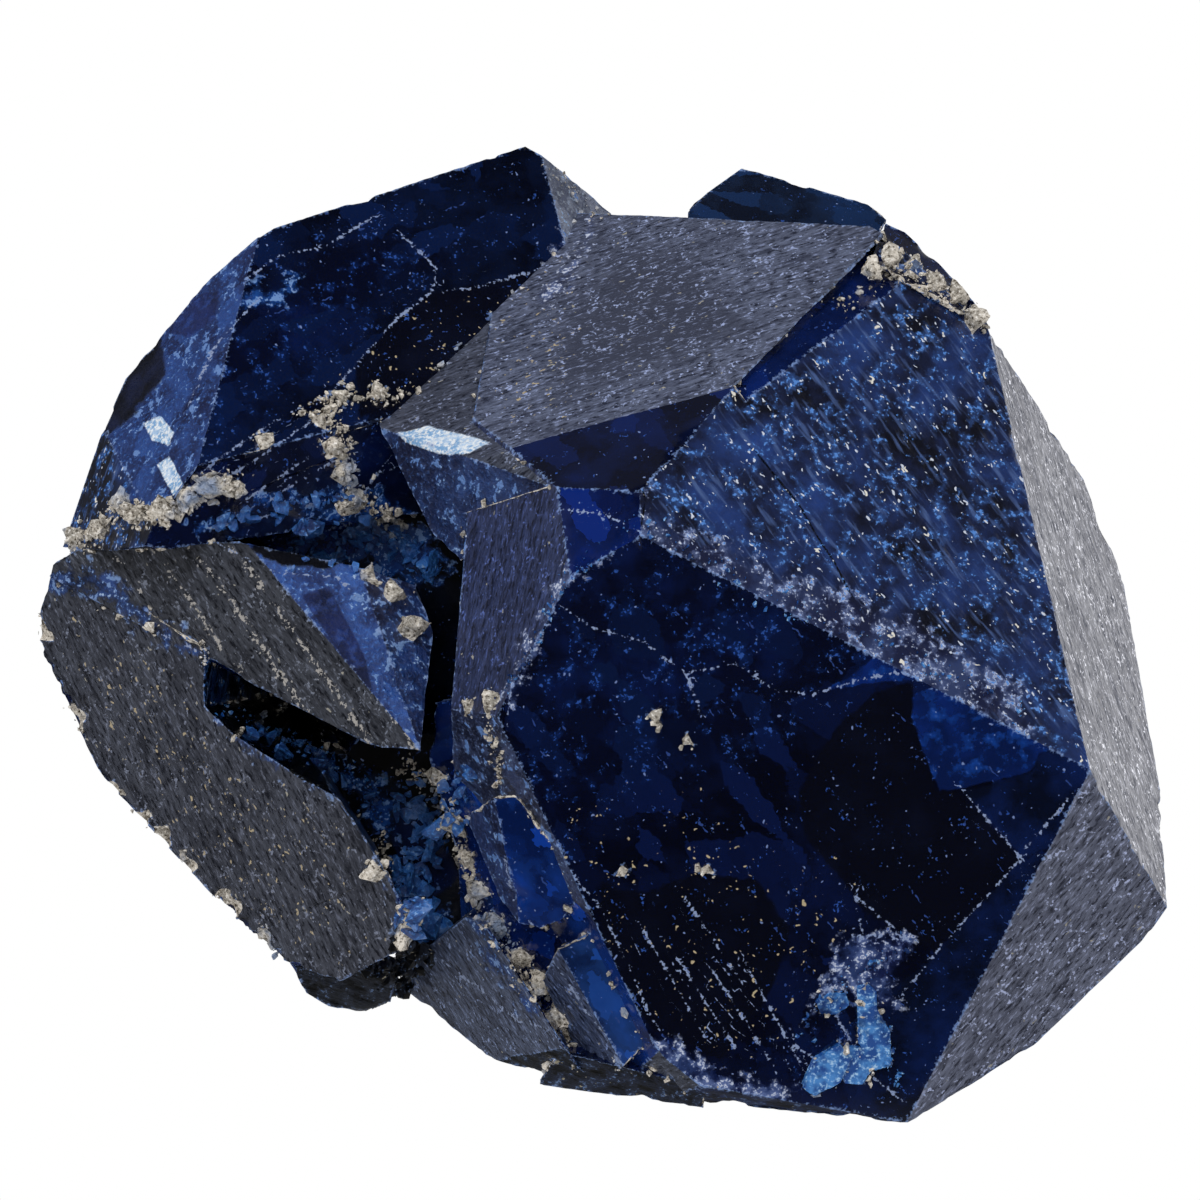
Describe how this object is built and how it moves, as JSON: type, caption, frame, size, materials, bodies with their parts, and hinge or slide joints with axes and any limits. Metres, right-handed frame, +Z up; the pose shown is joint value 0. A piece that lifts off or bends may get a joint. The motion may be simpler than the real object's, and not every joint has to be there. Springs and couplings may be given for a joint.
{
  "type": "boleite crystal",
  "caption": "Group of deep-blue boleite crystals grown into one another, with satin grey cleavage faces, glassy dark fronts and cream matrix crumbs in the seams, lying on a small flat spot",
  "frame": {"origin": "centre of the bounding box's footprint, on the plane the group lies on", "axes": "+X is the long direction, toward the tall pale right face; +Y is the hidden back; +Z is up from the flat spot"},
  "size_m": [0.0248, 0.0188, 0.017],
  "materials": {
    "boleite": "vitreous"
  },
  "bodies": {
    "root": {"boleite_crystal": "boleite"}
  },
  "joints": []
}
